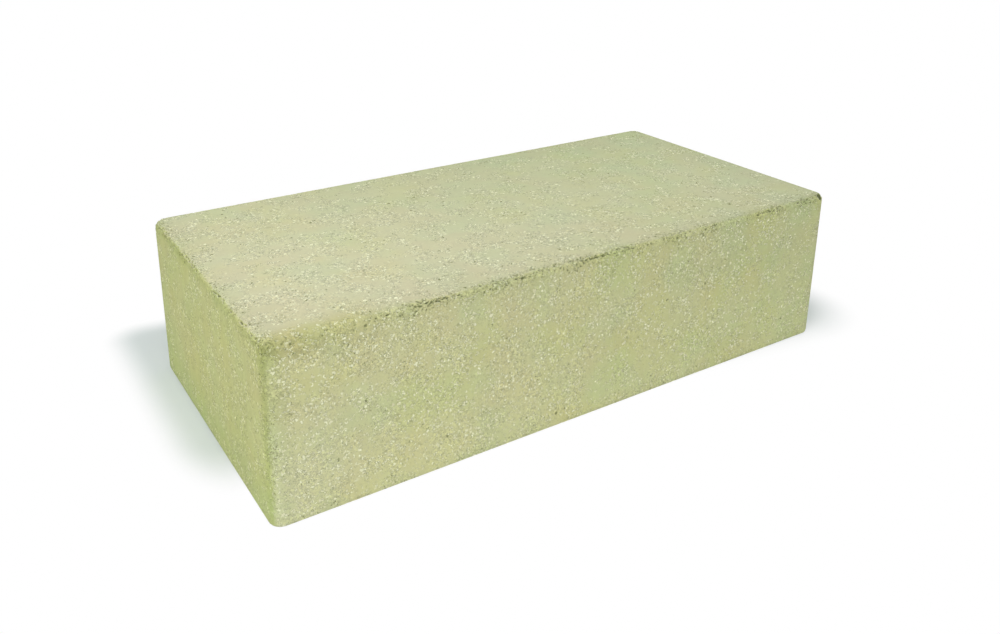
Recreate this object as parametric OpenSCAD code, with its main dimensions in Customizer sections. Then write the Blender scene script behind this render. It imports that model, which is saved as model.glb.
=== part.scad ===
// Solid pressed brick, lying on its lower bed.
// X runs along the length, Y across the width and Z up, with the origin in the middle of the lower bed.

/* [Brick] */
// Length, from header to header
brick_length = 250; // [180:1:300]
// Width, from stretcher to stretcher
brick_width = 120; // [80:1:150]
// Height, from bed to bed
brick_height = 65; // [40:1:140]

/* [Arrises] */
// Radius of the four upright arrises
upright_radius = 4.5; // [4:0.25:10]
// Radius of the arris round the upper bed
upper_radius = 3; // [1:0.25:3.5]
// Radius of the arris round the lower bed
lower_radius = 1.5; // [0.5:0.25:3.5]

/* [Finish] */
// Colour of the pressed faces
brick_colour = "#BFC297"; // [#BFC297:Pale olive, #CFC4A6:Straw, #B5674B:Red, #8E8C86:Grey]
// Flats that the preview draws a full circle with
smoothness = 64; // [24:8:128]

/* [Hidden] */
$fn = smoothness;

// From the middle of the brick to the centre line of an upright arris
arris_x = brick_length / 2 - upright_radius;
arris_y = brick_width / 2 - upright_radius;

// What rounding takes off a corner at the origin, whose two edges run left and down from it.
module corner_waste(radius) {
    translate([-radius, -radius]) {
        difference() {
            square(2 * radius);
            circle(radius);
        }
    }
}

// Half of an upright section, from the middle out to reach, with its upper and lower arrises rounded.
module half_section(reach) {
    difference() {
        square([reach, brick_height]);
        translate([reach, brick_height]) corner_waste(upper_radius);
        translate([reach, 0]) mirror([0, 1]) corner_waste(lower_radius);
    }
}

// A bar that runs along Y, with the rounded section across X.
module bar(width, length) {
    rotate([90, 0, 0]) {
        linear_extrude(length, center = true) {
            half_section(width / 2);
            mirror([1, 0]) half_section(width / 2);
        }
    }
}

// A quarter turn of the section: one upright arris and the two rounded corners at its ends.
module upright_arris() {
    rotate_extrude(angle = 90) half_section(upright_radius);
}

module brick() {
    color(brick_colour) {
        bar(brick_length, 2 * arris_y);
        rotate([0, 0, 90]) bar(brick_width, 2 * arris_x);
        for (end = [0, 1], side = [0, 1]) {
            mirror([end, 0, 0]) mirror([0, side, 0]) {
                translate([arris_x, arris_y, 0]) upright_arris();
            }
        }
    }
}

brick();
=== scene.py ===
import math

import bpy
from mathutils import Matrix, Vector, noise


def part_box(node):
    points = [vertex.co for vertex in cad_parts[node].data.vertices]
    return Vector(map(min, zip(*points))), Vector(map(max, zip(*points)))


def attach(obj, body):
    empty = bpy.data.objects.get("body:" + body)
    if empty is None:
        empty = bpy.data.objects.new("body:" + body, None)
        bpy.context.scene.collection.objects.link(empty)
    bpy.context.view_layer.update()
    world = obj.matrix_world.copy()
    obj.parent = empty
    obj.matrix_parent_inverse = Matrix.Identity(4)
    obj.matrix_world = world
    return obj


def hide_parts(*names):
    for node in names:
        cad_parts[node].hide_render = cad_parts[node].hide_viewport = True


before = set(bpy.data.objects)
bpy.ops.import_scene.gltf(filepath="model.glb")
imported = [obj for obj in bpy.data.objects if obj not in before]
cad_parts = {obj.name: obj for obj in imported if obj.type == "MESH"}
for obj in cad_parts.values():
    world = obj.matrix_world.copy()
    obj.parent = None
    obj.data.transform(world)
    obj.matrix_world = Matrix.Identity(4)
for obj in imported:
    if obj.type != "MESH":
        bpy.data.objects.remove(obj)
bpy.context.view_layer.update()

mm = 0.001
low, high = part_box("brick")
middle = (low + high) / 2
length, width, height = high - low


def hexColour(text):
    # sRGB hex to the linear values that shaders take
    parts = [int(text[i:i + 2], 16) / 255 for i in (1, 3, 5)]
    linear = [c / 12.92 if c <= 0.04045 else ((c + 0.055) / 1.055) ** 2.4 for c in parts]
    return (*linear, 1.0)


def deselect():
    if bpy.context.object and bpy.context.object.mode != "OBJECT":
        bpy.ops.object.mode_set(mode="OBJECT")
    bpy.ops.object.select_all(action="DESELECT")


def applied(piece, name, kind, **settings):
    # adds a modifier, sets it and applies it
    modifier = piece.modifiers.new(name, kind)
    for key, value in settings.items():
        setattr(modifier, key, value)
    bpy.ops.object.modifier_apply(modifier=name)


eye = {
    "azimuth": -31.66,  # degrees round the brick, from straight in front
    "elevation": 17.87,
    "distance": 389.8 * mm,
    "slide": (-17.9 * mm, 46.5 * mm),  # across and up, which puts the brick where it stands in the frame
    "lens": 33.65,
    "shift": (0.042, -0.15),
    "nearest": 10 * mm,  # nothing closer than this is drawn
}


def placeCamera():
    around, above = math.radians(eye["azimuth"]), math.radians(eye["elevation"])
    level = math.cos(above)
    back = Vector((math.sin(around) * level, -math.cos(around) * level, math.sin(above)))
    right = Vector((math.cos(around), math.sin(around), 0))
    up = back.cross(right)
    bpy.ops.object.camera_add()
    camera = bpy.context.object
    place = middle + back * eye["distance"] + right * eye["slide"][0] + up * eye["slide"][1]
    turn = Matrix((right, up, back)).transposed().to_4x4()
    camera.matrix_world = Matrix.Translation(place) @ turn
    camera.data.lens = eye["lens"]
    camera.data.shift_x, camera.data.shift_y = eye["shift"]
    camera.data.clip_start = eye["nearest"]
    bpy.context.scene.camera = camera
    print("camera placed")


brickShape = {
    "upright": (4.5 * mm, 8),  # radius of the rounded edges, and how many strips they are made of
    "upper": (2.4 * mm, 6),
    "lower": (1.5 * mm, 4),
    "skin": 0.05 * mm,  # the block starts this far inside the box, so that nothing stands out of it
    "grid": 0.7 * mm,  # squares over the block, halved beside the arrises that wear most
    "band": 5.0 * mm,  # width of that strip
    "triangles": 185000,  # in the finished block
}

sides = {
    "left": (0, low.x, 1),
    "right": (0, high.x, -1),
    "front": (1, low.y, 1),
    "back": (1, high.y, -1),
    "lower": (2, low.z, 1),
    "upper": (2, high.z, -1),
}


def gapsTo(point):
    # how far inside each side of the box a point lies
    return {name: (point[axis] - start) * way for name, (axis, start, way) in sides.items()}


def pickEdges(piece, wanted):
    # selects the edges whose two ends both answer to wanted
    mesh = piece.data
    for part in (mesh.vertices, mesh.edges, mesh.polygons):
        for item in part:
            item.select = False
    for edge in mesh.edges:
        a, b = (mesh.vertices[i].co for i in edge.vertices)
        edge.select = wanted(a, b)


def roundEdges(piece, wanted, radius, steps):
    bpy.ops.object.mode_set(mode="EDIT")
    bpy.ops.mesh.select_mode(type="EDGE")
    bpy.ops.object.mode_set(mode="OBJECT")
    pickEdges(piece, wanted)
    bpy.ops.object.mode_set(mode="EDIT")
    bpy.ops.mesh.bevel(offset=radius, offset_type="OFFSET", segments=steps, profile=0.5, affect="EDGES")
    bpy.ops.object.mode_set(mode="OBJECT")


# A pressed brick crumbles along its arrises, most of all round the upper bed, where the plunger left
# the mould.
brickWear = {
    "reach": 6.0 * mm,  # from an arris to where its wear has faded out
    "arrises": {  # how much wear each arris has taken
        "upper front": 1.0, "upper left": 0.9, "upper right": 0.5, "upper back": 0.5,
        "front left": 0.75, "front right": 0.35, "back left": 0.4, "back right": 0.4,
        "lower front": 0.12, "lower left": 0.1, "lower right": 0.15, "lower back": 0.15,
    },
    "uprights": (1.3, 0.4),  # how much of that the uprights have at the upper bed and at the foot
    "swellSize": 45.0 * mm,  # slow unevenness of the faces
    "swellDepth": 0.12 * mm,
    "crumbSize": 1.2 * mm,  # sandy roughness of the arrises
    "crumbDepth": 0.25 * mm,
    "pits": ((0.8 * mm, 0.4 * mm), (1.1 * mm, 0.45 * mm)),  # cell that a pit lies in, deepest pit
    "pitStray": (0.5 * mm, 1.4 * mm),  # how far their outlines stray, and over what length
    "pitPatch": 13.0 * mm,  # pits come in patches of this size
    "pitSeed": (3.1, 5.7, 1.3),
    "fullPit": 0.6,  # radius of a full-grown pit or nick, as a share of its cell
    "nickLength": 1.8 * mm,  # nicks follow the arris: length and width of their cells, deepest nick
    "nickWidth": 0.7 * mm,
    "nickDepth": 0.65 * mm,
    "nickDrop": 0.9 * mm,  # how far below the upper bed they lie, and how far they stray from that line
    "nickBand": 1.5 * mm,
    "nickStray": (0.35 * mm, 0.9 * mm),
    "nickPatch": 8.0 * mm,
    "nickSeed": (7.7, 2.9, 4.1),
    "rubbedLength": 60.0 * mm,  # the upper front arris is rubbed round from the left corner this far along
    "rubbedWidth": 9.0 * mm,
    "rubs": 110,
    # corner, mm in from each of its sides, radius, depth, and how much of that depth is a pit that the
    # material darkens with painted shade
    "bites": (
        ("left back upper", (0, 0, 0), 2.6 * mm, 0.9 * mm, 0.0),
        ("right front upper", (3.0, 0.8, 0.4), 1.6 * mm, 1.0 * mm, 1.0),
    ),
    "biteStray": (0.8, 1.3 * mm),  # share of the radius that their rims stray by, and over what length
    "deepest": 2.0 * mm,  # more than anything above wears away
    "seed": 3,  # of the straying outlines
}


def smooth(value):
    value = max(0.0, min(1.0, value))
    return value * value * (3 - 2 * value)


def rubbedAt(point):
    # how rubbed a point is, from 0 to 1
    gap = gapsTo(point)
    rubbed = smooth(1.15 - gap["left"] / brickWear["rubbedLength"])
    return rubbed * smooth(1.2 - math.hypot(gap["front"], gap["upper"]) / brickWear["rubbedWidth"])


def makeBlock():
    shape = brickShape
    deselect()
    bpy.ops.mesh.primitive_cube_add(size=1, location=middle)
    block = bpy.context.object
    block.name = "pressed_block"
    block.scale = [side - 2 * shape["skin"] for side in (length, width, height)]
    bpy.ops.object.transform_apply(location=True, rotation=True, scale=True)
    top, bottom = high.z - shape["skin"], low.z + shape["skin"]
    near = 0.01 * mm
    roundEdges(block, lambda a, b: abs(a.z - b.z) > height / 2, *shape["upright"])
    roundEdges(block, lambda a, b: min(a.z, b.z) > top - near, *shape["upper"])
    roundEdges(block, lambda a, b: max(a.z, b.z) < bottom + near, *shape["lower"])
    applied(block, "grid", "REMESH", mode="VOXEL", voxel_size=shape["grid"])
    smoothed = block.vertex_groups.new(name="smoothed")
    for vertex in block.data.vertices:
        rubbed = rubbedAt(vertex.co)
        if rubbed > 0:
            smoothed.add((vertex.index,), rubbed, "REPLACE")
    applied(block, "rub", "SMOOTH", factor=0.5, iterations=brickWear["rubs"], vertex_group="smoothed")

    # halve the squares along the upper arrises and the uprights
    mesh = block.data
    for vertex in mesh.vertices:
        gap = gapsTo(vertex.co)
        flat = sorted((min(gap["left"], gap["right"]), min(gap["front"], gap["back"])))
        upper = sorted((flat[0], gap["upper"]))
        vertex.select = flat[1] < shape["band"] or upper[1] < shape["band"]
    for face in mesh.polygons:
        face.select = all(mesh.vertices[i].select for i in face.vertices)
    bpy.ops.object.mode_set(mode="EDIT")
    bpy.ops.mesh.select_mode(type="FACE")
    bpy.ops.mesh.subdivide(number_cuts=1)
    bpy.ops.object.mode_set(mode="OBJECT")
    print("block rounded and gridded:", len(mesh.polygons), "faces")
    return block


def grownPit(seed, crowd):
    # radius of the pit in a cell, as a share of the cell; a higher crowd leaves fewer cells with none
    luck = 0.5 + 0.5 * noise.cell(seed)
    return brickWear["fullPit"] * min(1.0, max(0.0, (crowd - luck) / 0.3))


def nickAt(point, axis, crowd):
    # depth of the nicks along an arris that runs along this axis
    wear = brickWear
    stray, straySize = wear["nickStray"]
    ragged = point + stray * noise.noise_vector(point / straySize)
    cell = ragged / wear["nickWidth"]
    cell[axis] = ragged[axis] / wear["nickLength"]
    away, seeds = noise.voronoi(cell)
    patch = smooth(0.5 + 2.2 * noise.noise(point / wear["nickPatch"] + Vector(wear["nickSeed"])))
    radius = grownPit(seeds[0] * 17.3, crowd * (0.3 + 1.15 * patch))
    return wear["nickDepth"] * max(0.0, 1 - (away[0] / max(radius, 0.01)) ** 2) * radius / wear["fullPit"]


def wearAt(point):
    # how deep a point of the surface has worn in all, and how much of that is pits
    wear = brickWear
    gap = gapsTo(point)
    depth = wear["swellDepth"] * (0.5 + 0.5 * noise.noise(point / wear["swellSize"]))
    if sorted(gap.values())[1] > wear["reach"]:
        return depth, 0.0
    worn, pit = 0.0, 0.0
    most, least = wear["uprights"]
    for pair, amount in wear["arrises"].items():
        a, b = pair.split()
        if a in ("front", "back"):
            amount *= most - (most - least) * gap["upper"] / height
        worn = max(worn, amount * max(0.0, 1 - math.hypot(gap[a], gap[b]) / wear["reach"]))
        drop = wear["nickDrop"] if a == "upper" else 0.0
        near = amount * (1 - math.hypot(gap[a] - drop, gap[b]) / wear["nickBand"])
        if near > 0:
            pit = max(pit, nickAt(point, 3 - sides[a][0] - sides[b][0], near))
    grain = noise.noise(point / wear["crumbSize"]) + 0.5 * noise.noise(point / wear["crumbSize"] * 2.3)
    depth += wear["crumbDepth"] * worn * (0.5 + 0.5 * grain)
    stray, straySize = wear["biteStray"]
    for corner, inwards, radius, bite, dark in wear["bites"]:
        away = math.dist([gap[side] for side in corner.split()], [inset * mm for inset in inwards])
        away *= 1 + stray * noise.noise(point / straySize)
        bitten = bite * smooth(1.6 - away / radius)
        depth += bitten * (1 - dark)
        pit = max(pit, bitten * dark)
    patch = smooth(0.5 + 1.2 * noise.noise(point / wear["pitPatch"] + Vector(wear["pitSeed"])))
    crowd = worn ** 0.8 * (0.25 + 0.75 * patch)
    stray, straySize = wear["pitStray"]
    ragged = point + stray * noise.noise_vector(point / straySize)
    for size, deep in wear["pits"]:
        away, seeds = noise.voronoi(ragged / size)
        radius = grownPit(seeds[0] * 31.7, crowd)
        if away[0] < radius:
            pit = max(pit, deep * (1 - (away[0] / radius) ** 2) * radius / wear["fullPit"])
    return depth + pit, pit


def wearBlock(block):
    noise.seed_set(brickWear["seed"])  # unseeded, noise_vector would stray in another way each run
    deepest = brickWear["deepest"]
    sunk = block.vertex_groups.new(name="sunk")
    pits = block.vertex_groups.new(name="pits")
    for vertex in block.data.vertices:
        depth, pit = wearAt(vertex.co)
        sunk.add((vertex.index,), min(1.0, depth / deepest), "REPLACE")
        if pit > 0:
            pits.add((vertex.index,), min(1.0, pit / deepest), "REPLACE")
    applied(block, "wear", "DISPLACE", direction="NORMAL", strength=-deepest, mid_level=0.0,
            vertex_group="sunk")
    print("wear worked in")


def thinBlock(block):
    # fewer, larger faces where the block is flat
    mesh = block.data
    mesh.calc_loop_triangles()
    share = brickShape["triangles"] / len(mesh.loop_triangles)
    applied(block, "thin", "DECIMATE", decimate_type="COLLAPSE", ratio=share)
    bpy.ops.object.shade_smooth()
    applied(block, "level", "WEIGHTED_NORMAL", mode="FACE_AREA", weight=60)
    print("block thinned to", len(mesh.polygons), "faces")


def tellMaterial(block):
    # leaves on each point how deep its pit is, in mm, and how rubbed it is, for the material to read
    mesh = block.data
    told = {"pits": ("pitted", brickWear["deepest"] / mm), "smoothed": ("rubbed", 1.0)}
    for layerName, most in told.values():
        mesh.attributes.new(layerName, "FLOAT", "POINT")
    layers = {block.vertex_groups[group].index: (mesh.attributes[layerName].data, most)
              for group, (layerName, most) in told.items()}
    for vertex in mesh.vertices:
        for member in vertex.groups:
            if member.group in layers:
                values, most = layers[member.group]
                values[vertex.index].value = member.weight * most
    block.vertex_groups.clear()


def addNode(tree, kind, links=None, **settings):
    # adds a node with its settings, its values and its links; a node given as a value is linked by its
    # first output
    node = tree.nodes.new("ShaderNode" + kind)
    for key, value in settings.items():
        setattr(node, key, value)
    for key, value in (links or {}).items():
        if isinstance(value, bpy.types.Node):
            value = next(output for output in value.outputs if output.enabled)
        if isinstance(value, bpy.types.NodeSocket):
            tree.links.new(value, node.inputs[key])
        else:
            node.inputs[key].default_value = value
    return node


def newMaterial(name):
    material = bpy.data.materials.new(name)
    material.use_nodes = True
    material.node_tree.nodes.clear()
    return material, material.node_tree


# Solid brick, pressed half dry from pale quarry sand, cement and an olive pigment. The die leaves the
# paste dull and close; cut grains show in it as cream flecks, lost ones as small pores painted dark as
# their shade, and the pigment shifts slowly between green, yellow and a pinkish beige. The beds are
# paler than the sides, which the die wall has smeared up and down, and the ends are darker, which is
# painted shade. Lengths here are in mm, and three plain numbers in a row are for stretchers, ends and
# beds, unless a note says what they are.
brickLook = {
    "stretcher": "#D6D6A2",
    # painted shade: the ends are darker than the stretchers
    "end": "#BDBF81",
    "bed": "#D8D6B0",
    "shade": ("#F3FFFC", "#FFFFEB", "#FFF9FA"),  # greener, yellower and pinker patches
    "shadeOn": (0.6, 0.45, 0.45),
    "shadeSize": 20.0,
    "shadeFrom": (0.42, 0.68),  # how high the noise is where a patch begins, and where it is full
    "uneven": (0.03, 0.07, 0.035),  # how far lightness strays, in patches a quarter of that size
    "driftAndFalloff": "#EFF8EC",  # greener, and darker as a painted falloff of light, away from the left front corner
    "driftWay": (0.6, 0.4),  # how much of that goes along the length, and how much along the width
    "driftEnds": 0.45,  # it runs from this share of the block before the middle to as much past it
    "paintedFalloff": (-0.02, 0.0, 0.05),  # and this much darker still, a painted falloff of light
    "calmer": 0.3,  # and with fewer grains and pores
    "paintedHeightLight": (0.043, -0.012, 0.0),  # painted light: how much paler at the foot and darker at the top
    "foot": "#F3FCF6",  # greener along the foot of the ends
    "footFrom": (8.0, 28.0),  # how far below the middle that begins, and where it is full
    # painted shade: how much darker the beds are towards any arris, the front and the ends, and how far in
    # that goes
    "paintedRims": ((0.03, 25.0), (0.045, 55.0), (0.035, 18.0)),
    "rimWidth": 2.0,  # it is full over this width
    # painted light and shade: how much paler the ends are low down beside the front, how far from it that
    # begins and where it is full; and how much darker they are beside the back
    "paintedEndLight": (0.10, 22.0, 3.0),
    "paintedEndShade": (0.08, 14.0, 2.0),
    "streakWidth": 1.6,  # of a streak that the die wall leaves
    "streakLength": 30.0,
    "streakDepth": 0.04,  # how far its lightness strays
    "streaksOn": (0.4, 1.0, 0.0),
    "scuff": "#D4D7B2",  # paler and greyer low on the front at the left
    "scuffed": 0.35,  # how much of that shows
    "scuffWidth": (42.0, 5.0),  # how far from the left arris it begins, and where it is full
    "worn": (5.5, 0.5),  # how far from an arris the face begins to look worn, and where it fully does
    "wornAtFoot": 0.5,  # how much of that is left at the foot
    "frayedAndShaded": (0.15, 0.3, 0.2),  # how bruised every arris is, partly painted shade over its lit rounding
    "bruisedAndShaded": {"upper front": 0.1, "upper left": 0.15, "front left": 0.56},  # and how much more these
    "bruiseAndShadeWidth": {"left": 10.0, "front": 4.5, "upper": 9.0},  # how far from each side that goes
    "bruiseAndShade": "#D6DEC8",  # darker and greener, partly the bruises' own tone and partly painted shade
    "rubTone": "#E6E3D2",  # where the upper front arris is rubbed round
    "rubbed": 0.65,
    "openSize": 7.0,  # patches where the paste is open and sandy, or closed and quiet
    "openFrom": (0.40, 0.58),
    "open": (0.12, 1.3),  # how sandy the quiet and the open ones are
    "openWorn": 0.5,  # and how much more where an arris is worn
    "lively": 1.1,  # times this much where the paste isn't calmer
    "pasteGrain": 0.5,  # size of the paste's own grains, and how far their lightness strays
    "pasteDepth": 0.17,
    "warp": 0.55,  # by which grains and pores are pulled out of round
    "warpSize": 0.9,
    # cell that a grain lies in, its largest radius and soft edge, share of cells that have one, strength
    "grains": ((0.80, 0.54, 0.09, 0.85, 1.0), (1.6, 0.70, 0.16, 0.52, 0.95)),
    "crowdFrom": (0.38, 0.62),
    "crowded": (0.2, 1.55),  # how many the quiet and the open patches have
    "grainsOn": (0.80, 1.35, 1.4),  # times this many
    "grainsOff": (-0.22, 0.65, 0.5),  # and this many fewer
    "grainsScuffed": 0.45,  # how many more on the scuff, and how many fewer where worn
    "grainsWorn": -0.2,
    "bare": (1.0, 0.64, 1.0),  # how clean of paste they are
    "dusty": -0.45,  # and how much less so where worn, and again under the bruise and its painted shade
    "buffGrain": "#E4E3C0",
    "paleGrain": "#FDFFE2",
    "endGrain": "#F3F4B7",  # what the pale ones look like on the ends
    "cleanGrain": "#FCFFEC",  # and on the scuff
    "cleaned": 0.3,
    "jointShade": 0.16,  # width of the sunk ring round a grain, painted dark as its shade
    "jointShadeDepth": 0.4,  # how dark that painted shade is
    "pores": ((0.68, 0.38, 0.13, 0.70, 0.75), (2.0, 0.60, 0.18, 0.24, 1.0)),  # as for the grains
    "poresOn": (0.45, 2.1, 1.6),
    "poresOff": (0.15, 0.35, 0.35),
    # painted shade of the pores, and of the sunk ring round a grain
    "poreShade": "#6E763A",
    "pits": (("#5E6733", 0.1, 0.4), ("#3F4820", 0.35, 0.65)),  # painted shade in the pits: colour, depth it begins at and is full at
    "pitShade": 0.7,  # how much of that painted shade shows
    "grit": 0.6,  # size of the sandy tooth
    "rises": (0.3, 0.3, -0.5, -0.7),  # how far each kind of grain and pore stands out
    "relief": 0.2,
    "reliefShown": 0.8,
    "roughness": (0.75, 0.92),
    "ior": 1.5,
}


def strewn(tree, place, crowd, size, largest, edge, share, strength):
    # bits strewn through the block: how far inside a bit each point is, the bits themselves, how
    # strongly each shows, and a chance value for its tone; a higher crowd shows more of them
    cells = addNode(tree, "TexVoronoi", {"Vector": place, "Scale": 1 / (size * mm)})
    chance = addNode(tree, "SeparateColor", {0: cells.outputs["Color"]})
    radius = addNode(tree, "MapRange", {"Value": chance.outputs[0], "From Min": 1 - share, "From Max": 1.0,
                                        "To Min": -edge / size, "To Max": largest / size})
    inside = addNode(tree, "Math", {0: radius, 1: cells.outputs["Distance"]}, operation="SUBTRACT")
    mask = addNode(tree, "Math", {0: inside, 1: size / edge}, operation="MULTIPLY", use_clamp=True)
    over = addNode(tree, "Math", {0: crowd, 1: chance.outputs[2]}, operation="SUBTRACT")
    shown = addNode(tree, "MapRange", {"Value": over, "From Min": -0.25, "From Max": 0.25,
                                       "To Max": strength})
    return inside, mask, shown, chance.outputs[1]


def pressedBrick():
    look = brickLook
    material, tree = newMaterial("pressed_brick_face")
    spot = addNode(tree, "TexCoord")
    place = spot.outputs["Object"]
    centred = addNode(tree, "VectorMath", {0: place, 1: middle}, operation="SUBTRACT")
    apart = addNode(tree, "SeparateXYZ", {0: centred})
    across, inwards, up = apart.outputs
    facing = addNode(tree, "SeparateXYZ", {0: spot.outputs["Normal"]})

    # which way the surface faces, 1 being square on; a rubbed arris counts as a side sooner
    alongX = addNode(tree, "Math", {0: facing.outputs[0]}, operation="ABSOLUTE")
    alongZ = addNode(tree, "Math", {0: facing.outputs[2]}, operation="ABSOLUTE")
    onEnd = addNode(tree, "MapRange", {"Value": alongX, "From Min": 0.5, "From Max": 0.9},
                    interpolation_type="SMOOTHSTEP")
    rubbed = addNode(tree, "Attribute", attribute_name="rubbed")
    level = addNode(tree, "Math", {0: rubbed.outputs["Fac"], 1: -0.35, 2: alongZ}, operation="MULTIPLY_ADD")
    onBed = addNode(tree, "MapRange", {"Value": level, "From Min": 0.6, "From Max": 0.97},
                    interpolation_type="SMOOTHSTEP")
    onSide = addNode(tree, "Math", {0: 1.0, 1: onBed}, operation="SUBTRACT")
    onFront = addNode(tree, "MapRange", {"Value": facing.outputs[1], "From Min": -0.5, "From Max": -0.9},
                      interpolation_type="SMOOTHSTEP")

    def perSide(stretcher, end, bed):
        # one amount for stretchers, one for ends and one for beds
        ends = addNode(tree, "Math", {0: onEnd, 1: end - stretcher, 2: stretcher},
                       operation="MULTIPLY_ADD")
        return addNode(tree, "Math", {0: onBed, 1: bed - stretcher, 2: ends}, operation="MULTIPLY_ADD")

    # how near the nearest arris is, which is the second least of the distances to the sides
    folded = addNode(tree, "VectorMath", {0: centred}, operation="ABSOLUTE")
    inset = addNode(tree, "VectorMath", {0: (high - low) / 2, 1: folded}, operation="SUBTRACT")
    gap = addNode(tree, "SeparateXYZ", {0: inset})
    lesser = addNode(tree, "Math", {0: gap.outputs[0], 1: gap.outputs[1]}, operation="MINIMUM")
    greater = addNode(tree, "Math", {0: gap.outputs[0], 1: gap.outputs[1]}, operation="MAXIMUM")
    among = addNode(tree, "Math", {0: greater, 1: gap.outputs[2]}, operation="MINIMUM")
    arris = addNode(tree, "Math", {0: lesser, 1: among}, operation="MAXIMUM")
    starts, full = look["worn"]
    nearArris = addNode(tree, "MapRange", {"Value": arris, "From Min": starts * mm, "From Max": full * mm},
                        interpolation_type="SMOOTHSTEP")
    rising = addNode(tree, "MapRange", {"Value": up, "From Min": -height / 2, "From Max": height / 2,
                                        "To Min": look["wornAtFoot"]}, interpolation_type="SMOOTHSTEP")
    worn = addNode(tree, "Math", {0: nearArris, 1: rising}, operation="MULTIPLY")

    # the skin of each side, the ends' darker one being painted shade, and the slow shifts of the pigment,
    # whose drift is partly a painted falloff of light
    skin = addNode(tree, "Mix", {0: onEnd, 6: hexColour(look["stretcher"]), 7: hexColour(look["end"])},
                   data_type="RGBA")
    skin = addNode(tree, "Mix", {0: onBed, 6: skin, 7: hexColour(look["bed"])}, data_type="RGBA")
    clouds = addNode(tree, "TexNoise", {"Vector": place, "Scale": 1 / (look["shadeSize"] * mm),
                                        "Detail": 3.0})
    shades = addNode(tree, "SeparateColor", {0: clouds.outputs["Color"]})
    shaded = perSide(*look["shadeOn"])
    starts, full = look["shadeFrom"]
    for channel, colour in enumerate(look["shade"]):
        patch = addNode(tree, "MapRange", {"Value": shades.outputs[channel], "From Min": starts,
                                           "From Max": full}, interpolation_type="SMOOTHSTEP")
        patch = addNode(tree, "Math", {0: patch, 1: shaded}, operation="MULTIPLY")
        skin = addNode(tree, "Mix", {0: patch, 6: skin, 7: hexColour(colour)}, data_type="RGBA",
                       blend_type="MULTIPLY")
    alongLength, alongWidth = look["driftWay"]
    along = addNode(tree, "VectorMath", {0: centred, 1: (alongLength / length, alongWidth / width, 0)},
                    operation="DOT_PRODUCT")
    driftAndFalloff = addNode(tree, "MapRange", {"Value": along.outputs["Value"], "From Min": -look["driftEnds"],
                                       "From Max": look["driftEnds"]}, interpolation_type="SMOOTHSTEP")
    skin = addNode(tree, "Mix", {0: driftAndFalloff, 6: skin, 7: hexColour(look["driftAndFalloff"])}, data_type="RGBA",
                   blend_type="MULTIPLY")

    # bruised arrises, partly painted shade, the foot of the ends and the rubbed arris
    beside = {}
    for side, distance, start in (("left", across, -length / 2), ("front", inwards, -width / 2),
                                  ("upper", up, height / 2)):
        band = -math.copysign(look["bruiseAndShadeWidth"][side] * mm, start)
        beside[side] = addNode(tree, "MapRange", {"Value": distance, "From Min": start + band,
                                                  "From Max": start + 0.25 * band},
                               interpolation_type="SMOOTHSTEP")
    bruiseAndShade = addNode(tree, "Math", {0: nearArris, 1: perSide(*look["frayedAndShaded"])}, operation="MULTIPLY")
    for pair, amount in look["bruisedAndShaded"].items():
        one, other = pair.split()
        both = addNode(tree, "Math", {0: beside[one], 1: beside[other]}, operation="MULTIPLY")
        both = addNode(tree, "Math", {0: both, 1: onSide if one == "upper" else rising},
                       operation="MULTIPLY")
        bruiseAndShade = addNode(tree, "Math", {0: both, 1: amount, 2: bruiseAndShade}, operation="MULTIPLY_ADD")
    bruiseAndShade = addNode(tree, "Math", {0: bruiseAndShade, 1: 1.0}, operation="MINIMUM")
    skin = addNode(tree, "Mix", {0: bruiseAndShade, 6: skin, 7: hexColour(look["bruiseAndShade"])}, data_type="RGBA",
                   blend_type="MULTIPLY")
    starts, full = look["footFrom"]
    foot = addNode(tree, "MapRange", {"Value": up, "From Min": -starts * mm, "From Max": -full * mm},
                   interpolation_type="SMOOTHSTEP")
    foot = addNode(tree, "Math", {0: foot, 1: onEnd}, operation="MULTIPLY")
    skin = addNode(tree, "Mix", {0: foot, 6: skin, 7: hexColour(look["foot"])}, data_type="RGBA",
                   blend_type="MULTIPLY")
    rub = addNode(tree, "Math", {0: rubbed.outputs["Fac"], 1: look["rubbed"]}, operation="MULTIPLY")
    skin = addNode(tree, "Mix", {0: rub, 6: skin, 7: hexColour(look["rubTone"])}, data_type="RGBA",
                   blend_type="MULTIPLY")

    # lightness: slow patches, painted shade towards the rims of the beds, the drift's painted falloff of
    # light, and streaks from the die wall
    patches = addNode(tree, "TexNoise", {"Vector": place, "Scale": 4 / (look["shadeSize"] * mm),
                                         "Detail": 4.0, "Roughness": 0.6})
    strays = addNode(tree, "MapRange", {"Value": patches, "From Min": 0.25, "From Max": 0.75,
                                        "To Min": -1.0})
    lightness = addNode(tree, "Math", {0: strays, 1: perSide(*look["uneven"]), 2: 1.0},
                        operation="MULTIPLY_ADD")
    # painted shade on the beds towards their rims
    paintedRim = 0.0
    borders = (arris, 0.0), (inwards, -width / 2), (gap.outputs[0], 0.0)
    for (darker, reach), (distance, start) in zip(look["paintedRims"], borders):
        near = addNode(tree, "MapRange", {"Value": distance, "From Min": start + reach * mm,
                                          "From Max": start + look["rimWidth"] * mm, "To Max": -darker},
                       interpolation_type="SMOOTHSTEP")
        paintedRim = addNode(tree, "Math", {0: near, 1: paintedRim}, operation="ADD")
    lightness = addNode(tree, "Math", {0: paintedRim, 1: onBed, 2: lightness}, operation="MULTIPLY_ADD")
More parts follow.
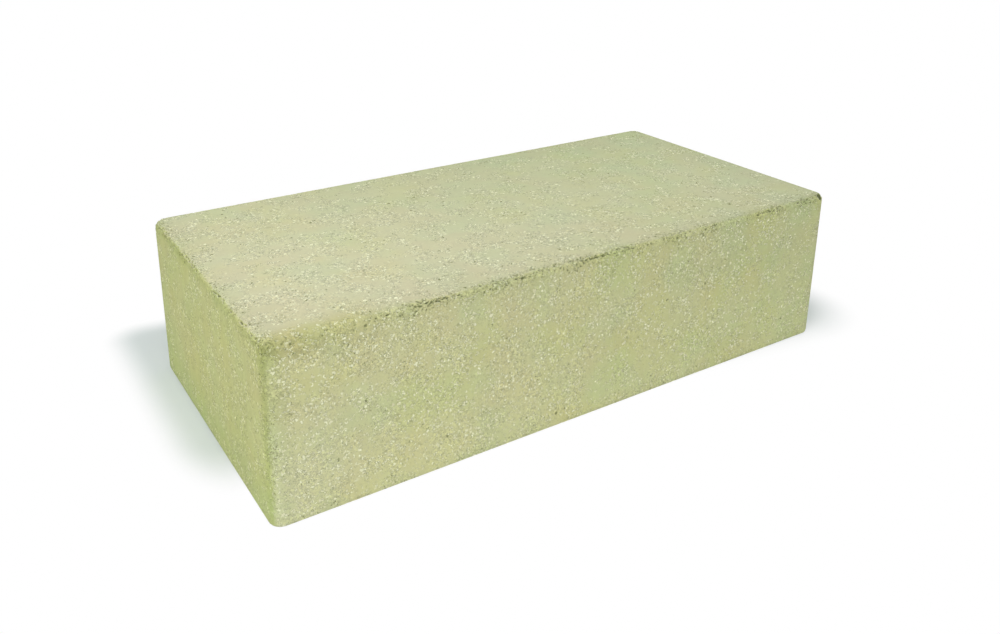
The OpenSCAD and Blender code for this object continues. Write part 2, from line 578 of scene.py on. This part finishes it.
    # painted falloff of light: darker away from the left front corner
    paintedFalloff = addNode(tree, "Math", {0: driftAndFalloff, 1: perSide(*look["paintedFalloff"])}, operation="MULTIPLY")
    lightness = addNode(tree, "Math", {0: lightness, 1: paintedFalloff}, operation="SUBTRACT")
    drawnOut = addNode(tree, "Mapping", {"Vector": place,
                                         "Scale": (1, 1, look["streakWidth"] / look["streakLength"])})
    streaks = addNode(tree, "TexNoise", {"Vector": drawnOut, "Scale": 1 / (look["streakWidth"] * mm),
                                         "Detail": 2.0})
    streak = addNode(tree, "MapRange", {"Value": streaks, "From Min": 0.3, "From Max": 0.7,
                                        "To Min": -look["streakDepth"], "To Max": look["streakDepth"]})
    lightness = addNode(tree, "Math", {0: streak, 1: perSide(*look["streaksOn"]), 2: lightness},
                        operation="MULTIPLY_ADD")

    # the scuff on the front, and the painted light and shade that change from front to back on the ends and
    # from top to foot
    fromLeft = addNode(tree, "Math", {0: across, 1: length / 2}, operation="ADD")
    starts, full = look["scuffWidth"]
    scuff = addNode(tree, "MapRange", {"Value": fromLeft, "From Min": starts * mm, "From Max": full * mm},
                    interpolation_type="SMOOTHSTEP")
    scuff = addNode(tree, "Math", {0: scuff, 1: onFront}, operation="MULTIPLY")
    sinking = addNode(tree, "MapRange", {"Value": up, "From Min": height / 3, "From Max": -height / 4},
                      interpolation_type="SMOOTHSTEP")
    scuff = addNode(tree, "Math", {0: scuff, 1: sinking}, operation="MULTIPLY")
    scuffed = addNode(tree, "Math", {0: scuff, 1: look["scuffed"]}, operation="MULTIPLY")
    skin = addNode(tree, "Mix", {0: scuffed, 6: skin, 7: hexColour(look["scuff"])}, data_type="RGBA")
    paler, starts, full = look["paintedEndLight"]
    paintedEndLight = addNode(tree, "MapRange", {"Value": inwards, "From Min": starts * mm - width / 2,
                                        "From Max": full * mm - width / 2, "To Max": paler},
                     interpolation_type="SMOOTHSTEP")
    paintedEndLight = addNode(tree, "Math", {0: paintedEndLight, 1: sinking}, operation="MULTIPLY")
    darker, starts, full = look["paintedEndShade"]
    paintedEndShade = addNode(tree, "MapRange", {"Value": inwards, "From Min": width / 2 - starts * mm,
                                        "From Max": width / 2 - full * mm, "To Max": -darker},
                     interpolation_type="SMOOTHSTEP")
    ends = addNode(tree, "Math", {0: paintedEndLight, 1: paintedEndShade}, operation="ADD")
    lightness = addNode(tree, "Math", {0: ends, 1: onEnd, 2: lightness}, operation="MULTIPLY_ADD")
    # painted light: paler at the foot and darker at the top
    paintedHeightLight = addNode(tree, "MapRange", {"Value": up, "From Min": height / 2, "From Max": -height / 2,
                                         "To Min": -1.0, "To Max": 1.0})
    lightness = addNode(tree, "Math", {0: paintedHeightLight, 1: perSide(*look["paintedHeightLight"]), 2: lightness},
                        operation="MULTIPLY_ADD")

    # the grain of the paste, stronger where it is open
    thronged = addNode(tree, "TexNoise", {"Vector": place, "Scale": 1 / (look["openSize"] * mm),
                                          "Detail": 3.0, "Roughness": 0.6})
    starts, full = look["openFrom"]
    least, most = look["open"]
    opened = addNode(tree, "MapRange", {"Value": thronged, "From Min": starts, "From Max": full,
                                        "To Min": least, "To Max": most})
    opened = addNode(tree, "Math", {0: worn, 1: look["openWorn"], 2: opened}, operation="MULTIPLY_ADD")
    calm = addNode(tree, "Math", {0: driftAndFalloff, 1: -look["calmer"], 2: look["lively"]},
                   operation="MULTIPLY_ADD")
    opened = addNode(tree, "Math", {0: opened, 1: calm}, operation="MULTIPLY")
    pull = addNode(tree, "TexNoise", {"Vector": place, "Scale": 1 / (look["warpSize"] * mm),
                                      "Detail": 2.0})
    pulled = addNode(tree, "VectorMath", {0: pull.outputs["Color"], 1: (0.5, 0.5, 0.5)},
                     operation="SUBTRACT")
    bent = addNode(tree, "VectorMath", {0: pulled, 1: (4 * look["warp"] * mm,) * 3, 2: place},
                   operation="MULTIPLY_ADD")
    paste = addNode(tree, "TexVoronoi", {"Vector": bent, "Scale": 1 / (look["pasteGrain"] * mm)})
    speck = addNode(tree, "SeparateColor", {0: paste.outputs["Color"]})
    speckled = addNode(tree, "MapRange", {"Value": speck.outputs[0], "To Min": -look["pasteDepth"],
                                          "To Max": look["pasteDepth"]})
    speckled = addNode(tree, "Math", {0: speckled, 1: opened}, operation="MULTIPLY")
    lightness = addNode(tree, "Math", {0: lightness, 1: speckled}, operation="ADD")
    skin = addNode(tree, "Mix", {0: 1.0, 6: skin, 7: lightness}, data_type="RGBA", blend_type="MULTIPLY")

    # cream and buff grains: fewest on the ends, most on the scuff, dusty along the arrises
    starts, full = look["crowdFrom"]
    least, most = look["crowded"]
    crowd = addNode(tree, "MapRange", {"Value": thronged, "From Min": starts, "From Max": full,
                                       "To Min": least, "To Max": most})
    crowd = addNode(tree, "Math", {0: driftAndFalloff, 1: -look["calmer"], 2: crowd}, operation="MULTIPLY_ADD")
    crowd = addNode(tree, "Math", {0: crowd, 1: perSide(*look["grainsOn"])}, operation="MULTIPLY")
    crowd = addNode(tree, "Math", {0: crowd, 1: perSide(*look["grainsOff"])}, operation="SUBTRACT")
    crowd = addNode(tree, "Math", {0: scuff, 1: look["grainsScuffed"], 2: crowd}, operation="MULTIPLY_ADD")
    crowd = addNode(tree, "Math", {0: worn, 1: look["grainsWorn"], 2: crowd}, operation="MULTIPLY_ADD")
    bare = addNode(tree, "Math", {0: worn, 1: look["dusty"], 2: 1.0}, operation="MULTIPLY_ADD")
    bare = addNode(tree, "Math", {0: bruiseAndShade, 1: look["dusty"], 2: bare}, operation="MULTIPLY_ADD")
    bare = addNode(tree, "Math", {0: bare, 1: perSide(*look["bare"])}, operation="MULTIPLY")
    palest = addNode(tree, "Mix", {0: onEnd, 6: hexColour(look["paleGrain"]),
                                   7: hexColour(look["endGrain"])}, data_type="RGBA")
    clean = addNode(tree, "Math", {0: scuff, 1: look["cleaned"]}, operation="MULTIPLY")
    palest = addNode(tree, "Mix", {0: clean, 6: palest, 7: hexColour(look["cleanGrain"])},
                     data_type="RGBA")
    bits = []
    for size, largest, edge, share, strength in look["grains"]:
        inside, mask, shown, tone = strewn(tree, bent, crowd, size, largest, edge, share, strength)
        # painted shade in the sunk ring round each grain
        out = addNode(tree, "Math", {0: inside, 1: look["jointShade"] / size}, operation="ADD")
        wider = addNode(tree, "Math", {0: out, 1: size / edge}, operation="MULTIPLY", use_clamp=True)
        jointShade = addNode(tree, "Math", {0: wider, 1: mask}, operation="SUBTRACT")
        jointShade = addNode(tree, "Math", {0: jointShade, 1: shown}, operation="MULTIPLY")
        jointShade = addNode(tree, "Math", {0: jointShade, 1: look["jointShadeDepth"]}, operation="MULTIPLY")
        skin = addNode(tree, "Mix", {0: jointShade, 6: skin, 7: hexColour(look["poreShade"])}, data_type="RGBA")
        tint = addNode(tree, "Mix", {0: tone, 6: hexColour(look["buffGrain"]), 7: palest},
                       data_type="RGBA")
        grain = addNode(tree, "Math", {0: mask, 1: shown}, operation="MULTIPLY")
        grain = addNode(tree, "Math", {0: grain, 1: bare}, operation="MULTIPLY")
        skin = addNode(tree, "Mix", {0: grain, 6: skin, 7: tint}, data_type="RGBA")
        bits.append(mask)

    # pores painted dark as their shade, more of them along the upper arrises, and painted shade in the pits
    # worn into these
    pored = addNode(tree, "Math", {0: worn, 1: 1.0, 2: perSide(*look["poresOn"])},
                    operation="MULTIPLY_ADD")
    pored = addNode(tree, "Math", {0: pored, 1: opened}, operation="MULTIPLY")
    pored = addNode(tree, "Math", {0: pored, 1: perSide(*look["poresOff"])}, operation="SUBTRACT")
    for kind in look["pores"]:
        _, mask, shown, _ = strewn(tree, bent, pored, *kind)
        poreShade = addNode(tree, "Math", {0: mask, 1: shown}, operation="MULTIPLY")
        skin = addNode(tree, "Mix", {0: poreShade, 6: skin, 7: hexColour(look["poreShade"])}, data_type="RGBA")
        bits.append(mask)
    pitted = addNode(tree, "Attribute", attribute_name="pitted")
    for colour, starts, full in look["pits"]:
        pit = addNode(tree, "MapRange", {"Value": pitted.outputs["Fac"], "From Min": starts,
                                         "From Max": full, "To Max": look["pitShade"]},
                      interpolation_type="SMOOTHSTEP")
        skin = addNode(tree, "Mix", {0: pit, 6: skin, 7: hexColour(colour)}, data_type="RGBA")

    # relief: a sandy tooth, standing grains and sunk pores
    grit = addNode(tree, "TexNoise", {"Vector": place, "Scale": 1 / (look["grit"] * mm), "Detail": 2.0})
    relief = addNode(tree, "Math", {0: grit, 1: opened}, operation="MULTIPLY")
    for mask, rise in zip(bits, look["rises"]):
        relief = addNode(tree, "Math", {0: mask, 1: rise, 2: relief}, operation="MULTIPLY_ADD")
    bump = addNode(tree, "Bump", {"Height": relief, "Strength": look["reliefShown"],
                                  "Distance": look["relief"] * mm})
    least, most = look["roughness"]
    dullness = addNode(tree, "MapRange", {"Value": grit, "From Min": 0.3, "From Max": 0.7,
                                          "To Min": least, "To Max": most})
    shader = addNode(tree, "BsdfPrincipled", {"Base Color": skin, "Roughness": dullness, "Normal": bump,
                                              "IOR": look["ior"]})
    addNode(tree, "OutputMaterial", {"Surface": shader})
    return material


# Seamless paper: a matt white sheet that holds the brick's soft shadow, deepened near the brick into a
# painted shadow, and runs out to plain white.
paperLook = {
    "sheet": "#F3F3F3",
    "seen": "#D9DBD7",  # the sheet as the camera sees it, darker than the sheet so that a painted shadow shows near the brick, with a glow that tints that shadow cool
    "glow": (0.0, 0.036, 0.060, 1.0),
    "shaded": ((-0.125, -0.015), (0.128, 0.070)),  # metres; the part that holds the painted shadow, past which the sheet runs out to white
    "slant": 0.13,  # its front border comes forward by this much for every metre to the right
    "clear": (0.004, 0.020),  # metres over which the sheet runs out
    "slower": 0.5,  # it takes that much longer to the right and to the front
    "across": 6,  # metres
}


def seenRays(tree):
    # 1 for what the camera sees, straight on or by way of a mirror or glass, and 0 for other light
    path = addNode(tree, "LightPath")
    seen = addNode(tree, "Math", {0: path.outputs["Is Camera Ray"], 1: path.outputs["Is Glossy Ray"]},
                   operation="MAXIMUM")
    return addNode(tree, "Math", {0: seen, 1: path.outputs["Is Transmission Ray"]}, operation="MAXIMUM")


def studioPaper():
    material, tree = newMaterial("studio_paper")
    paper = addNode(tree, "BsdfDiffuse", {"Color": hexColour(paperLook["sheet"])})
    shadowedPaper = addNode(tree, "BsdfDiffuse", {"Color": hexColour(paperLook["seen"])})
    glow = addNode(tree, "Emission", {"Color": paperLook["glow"]})
    lit = addNode(tree, "AddShader", {0: shadowedPaper, 1: glow})
    spot = addNode(tree, "TexCoord")
    (left, front), (right, back) = paperLook["shaded"]
    apart = addNode(tree, "SeparateXYZ", {0: spot.outputs["Object"]})
    slanted = addNode(tree, "Math", {0: apart.outputs[0], 1: paperLook["slant"], 2: apart.outputs[1]},
                      operation="MULTIPLY_ADD")
    pastLeft = addNode(tree, "Math", {0: left, 1: apart.outputs[0]}, operation="SUBTRACT")
    slower = paperLook["slower"]
    pastRight = addNode(tree, "Math", {0: apart.outputs[0], 1: slower, 2: -slower * right},
                        operation="MULTIPLY_ADD")
    pastFront = addNode(tree, "Math", {0: slanted, 1: -slower, 2: slower * front},
                        operation="MULTIPLY_ADD")
    pastBack = addNode(tree, "Math", {0: slanted, 1: back}, operation="SUBTRACT")
    across = addNode(tree, "Math", {0: pastLeft, 1: pastRight}, operation="MAXIMUM")
    along = addNode(tree, "Math", {0: pastFront, 1: pastBack}, operation="MAXIMUM")
    past = addNode(tree, "CombineXYZ", {0: across, 1: along})
    beyond = addNode(tree, "VectorMath", {0: past, 1: (0, 0, 0)}, operation="MAXIMUM")
    away = addNode(tree, "VectorMath", {0: beyond}, operation="LENGTH")
    near, far = paperLook["clear"]
    clear = addNode(tree, "MapRange", {"Value": away.outputs["Value"], "From Min": near, "From Max": far},
                    interpolation_type="SMOOTHSTEP")
    white = addNode(tree, "Emission", {"Strength": 1.0})
    sheet = addNode(tree, "MixShader", {0: clear, 1: lit, 2: white})
    both = addNode(tree, "MixShader", {0: seenRays(tree), 1: paper, 2: sheet})
    addNode(tree, "OutputMaterial", {"Surface": both})
    return material


studio = {
    "world": 0.19,
    "lamps": {
        "front": {"at": (0.0, -1.4, 2.6), "size": 1.2, "power": 18.0},
        "overhead": {"at": (0.0, 0.0, 1.6), "size": 1.2, "power": 1.2},
        "left": {"at": (-0.6, -0.35, 0.9), "size": 0.45, "power": 4.1},
        "nearLeft": {"at": (-0.55, 0.0, 0.20), "size": 0.30, "power": 0.20},
        "nearCorner": {"at": (-0.40, -0.40, 0.55), "size": 0.35, "power": 1.2},
        "right": {"at": (0.75, 0.40, 0.22), "size": 0.4, "power": 2.0},
        "back": {"at": (-0.3, 0.8, 0.25), "size": 0.4, "power": 1.3},
    },
}


def makeStudio():
    deselect()
    bpy.ops.mesh.primitive_plane_add(size=paperLook["across"], location=(0, 0, low.z))
    floor = bpy.context.object
    floor.name = "studio_floor"
    floor.data.materials.append(studioPaper())
    for name, lamp in studio["lamps"].items():
        bpy.ops.object.light_add(type="AREA", location=lamp["at"])
        light = bpy.context.object
        light.name = name
        light.data.shape = "SQUARE"
        light.data.size = lamp["size"]
        light.data.energy = lamp["power"]
        light.rotation_euler = (middle - Vector(lamp["at"])).to_track_quat("-Z", "Y").to_euler()
    world = bpy.data.worlds.new("studio_light")
    bpy.context.scene.world = world
    world.use_nodes = True
    tree = world.node_tree
    tree.nodes.clear()
    strength = addNode(tree, "MapRange", {"Value": seenRays(tree), "To Min": studio["world"],
                                          "To Max": 1.0})
    sky = addNode(tree, "Background", {"Color": (1.0, 1.0, 1.0, 1.0), "Strength": strength})
    addNode(tree, "OutputWorld", {"Surface": sky})
    bpy.context.scene.view_settings.view_transform = "Standard"
    print("studio lit")


placeCamera()
block = makeBlock()
wearBlock(block)
thinBlock(block)
tellMaterial(block)
block.data.materials.clear()
block.data.materials.append(pressedBrick())
print("brick face mixed")
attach(block, "root")
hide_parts("brick")
makeStudio()
